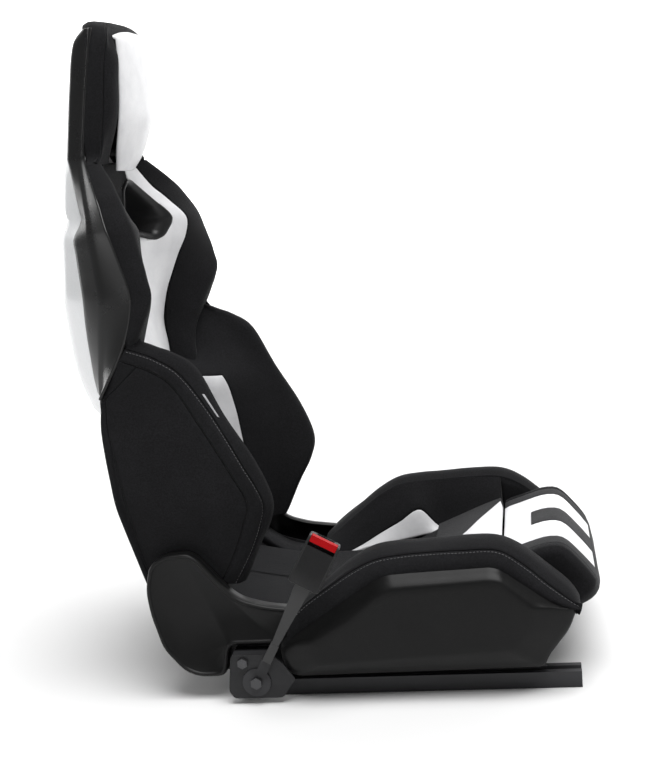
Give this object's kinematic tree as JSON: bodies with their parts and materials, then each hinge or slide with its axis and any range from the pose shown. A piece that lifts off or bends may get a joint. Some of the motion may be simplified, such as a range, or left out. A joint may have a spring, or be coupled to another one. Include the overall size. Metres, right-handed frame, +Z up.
{
  "type": "reclining sports seat",
  "caption": "Reclining car sports seat with deep side bolsters, fixed head restraint, harness openings, belt buckle and sliding floor rails.",
  "frame": {"origin": "centre of the plan box, on the underside of the floor rails", "axes": "+X towards the front of the seat, +Y to the occupant's left, +Z up; the buckle is on the -Y side"},
  "size_m": [0.7955, 0.6325, 1.0167],
  "materials": {
    "rail_steel": "satin black electro-coat",
    "frame_steel": "satin black electro-coat",
    "bracket_steel": "satin dark grey coat",
    "bright_steel": "zinc-plated steel",
    "black_fabric": "black woven fabric, matte",
    "grey_fabric": "dark grey woven fabric, matte",
    "tag_fabric": "light grey woven tag",
    "white_leather": "white grained leather, satin",
    "trim_plastic": "fine-grained dark plastic, matte",
    "shell_plastic": "fine-grained dark plastic, matte",
    "bezel_plastic": "smooth dark plastic, satin",
    "silver_panel": "painted silver, gloss",
    "buckle_plastic": "fine-grained black plastic, satin",
    "button_red": "red plastic, satin"
  },
  "bodies": {
    "floor_rails": {"lower_rail_R": "rail_steel", "lower_rail_L": "rail_steel"},
    "seat_base": {"upper_rail_R": "rail_steel", "upper_rail_L": "rail_steel", "side_frame_R": "frame_steel", "side_frame_L": "frame_steel", "front_cross_tube": "frame_steel", "rear_cross_tube": "frame_steel", "seat_pan": "frame_steel", "thigh_guide_R": "frame_steel", "thigh_guide_L": "frame_steel", "recliner_base_disc_R": "bright_steel", "recliner_base_disc_L": "bright_steel", "cushion_centre_pad": "black_fabric", "cushion_bolster_R": "black_fabric", "cushion_bolster_L": "black_fabric", "side_trim_R": "trim_plastic", "side_trim_L": "trim_plastic", "recliner_cover_R": "trim_plastic", "recliner_cover_L": "trim_plastic", "belt_bracket": "bracket_steel", "bracket_bolt": "bright_steel", "anchor_bolt": "bright_steel", "release_pivot_R": "bright_steel", "release_pivot_L": "bright_steel"},
    "thigh_support": {"thigh_pad": "grey_fabric", "thigh_carrier": "frame_steel"},
    "release_bar": {"slide_release_bar": "frame_steel"},
    "backrest": {"back_side_member_R": "frame_steel", "back_side_member_L": "frame_steel", "recliner_back_disc_R": "bright_steel", "recliner_back_disc_L": "bright_steel", "back_lower_cross_tube": "frame_steel", "back_upper_cross_tube": "frame_steel", "head_frame": "frame_steel", "back_shell": "shell_plastic", "back_panel": "silver_panel", "lower_rear_panel": "black_fabric", "harness_bezel_R": "bezel_plastic", "harness_bezel_L": "bezel_plastic", "lumbar_pad": "black_fabric", "upper_back_pad": "white_leather", "back_bolster_R": "black_fabric", "back_bolster_L": "black_fabric", "shoulder_wing_R": "black_fabric", "shoulder_wing_L": "black_fabric", "head_surround": "black_fabric", "head_pad": "white_leather", "bolster_tag": "tag_fabric"},
    "recline_wheel": {"recline_handwheel": "trim_plastic", "recline_cross_shaft": "bright_steel"},
    "buckle_stalk": {"anchor_plate": "bracket_steel", "stalk_sleeve": "buckle_plastic", "stalk_sheath": "buckle_plastic", "buckle_housing": "buckle_plastic"},
    "buckle_release": {"buckle_button": "button_red"}
  },
  "joints": [
    {"name": "seat_slide", "type": "slide", "parent": "floor_rails", "child": "seat_base", "axis": [1, 0, 0], "range_m": [0, 0.2]},
    {"name": "thigh_slide", "type": "slide", "parent": "seat_base", "child": "thigh_support", "axis": [1, 0, 0], "range_m": [0, 0.06]},
    {"name": "slide_release_lift", "type": "hinge", "parent": "seat_base", "child": "release_bar", "pos_m": [0.225, 0, 0.042], "axis": [0, -1, 0], "range_deg": [0, 8], "stiffness_Nm_per_rad": 2, "springref_deg": -11.46},
    {"name": "backrest_recline", "type": "hinge", "parent": "seat_base", "child": "backrest", "pos_m": [-0.215, 0, 0.15], "axis": [0, -1, 0], "range_deg": [-12, 45]},
    {"name": "recline_wheel_turn", "type": "hinge", "parent": "seat_base", "child": "recline_wheel", "pos_m": [-0.215, 0, 0.15], "axis": [0, -1, 0], "range_deg": [-360, 1350]},
    {"name": "buckle_swing", "type": "hinge", "parent": "seat_base", "child": "buckle_stalk", "pos_m": [-0.111, -0.272, 0.034], "axis": [0, 1, 0], "range_deg": [-25, 35]},
    {"name": "buckle_press", "type": "slide", "parent": "buckle_stalk", "child": "buckle_release", "axis": [-0.4848, 0, -0.8746], "range_m": [0, 0.004], "stiffness_N_per_m": 800, "springref_m": -0.002}
  ],
  "couplings": [
    {"joint": "recline_wheel_turn", "follows": "backrest_recline", "ratio": 30}
  ]
}
